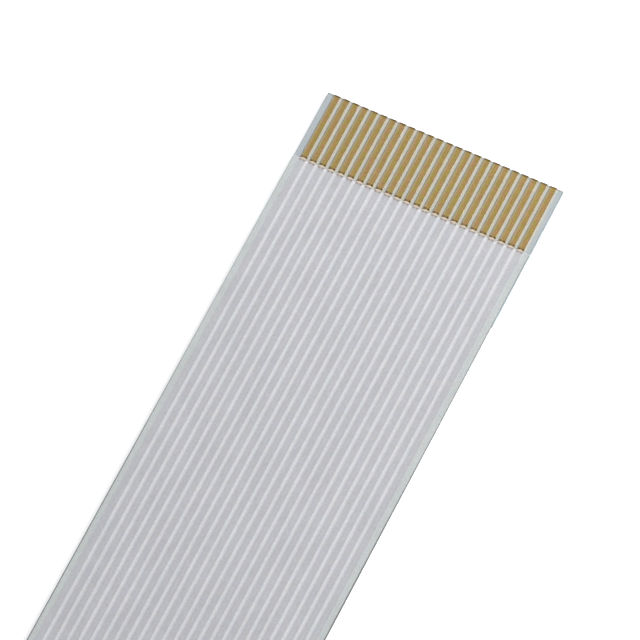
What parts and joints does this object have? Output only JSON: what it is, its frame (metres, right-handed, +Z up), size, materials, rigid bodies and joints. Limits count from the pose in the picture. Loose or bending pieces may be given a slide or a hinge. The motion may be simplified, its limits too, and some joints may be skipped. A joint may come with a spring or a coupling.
{
  "type": "flat flex cable",
  "caption": "Flat flexible jumper cable: a row of flat conductors sealed between two ribbed films, with bare contacts on one face and a stiffener tape at each end.",
  "frame": {"origin": "under the middle of the cable, on the surface that it lies on", "axes": "+Y along the cable towards end A, +X across it in the order of the conductors, +Z up out of the contact side"},
  "size_m": [0.0126, 0.08, 0.0003],
  "materials": {
    "base_film": "milky polyester film, satin",
    "cover_film": "milky polyester film, satin",
    "stiffener": "pale blue polyester tape",
    "conductor": "flat rolled copper, gold plated"
  },
  "bodies": {
    "root": {"base_film": "base_film", "cover_film": "cover_film", "stiffener_a": "stiffener", "stiffener_b": "stiffener", "conductor_01": "conductor", "conductor_02": "conductor", "conductor_03": "conductor", "conductor_04": "conductor", "conductor_05": "conductor", "conductor_06": "conductor", "conductor_07": "conductor", "conductor_08": "conductor", "conductor_09": "conductor", "conductor_10": "conductor", "conductor_11": "conductor", "conductor_12": "conductor", "conductor_13": "conductor", "conductor_14": "conductor", "conductor_15": "conductor", "conductor_16": "conductor", "conductor_17": "conductor", "conductor_18": "conductor", "conductor_19": "conductor", "conductor_20": "conductor", "conductor_21": "conductor", "conductor_22": "conductor", "conductor_23": "conductor", "conductor_24": "conductor"}
  },
  "joints": []
}
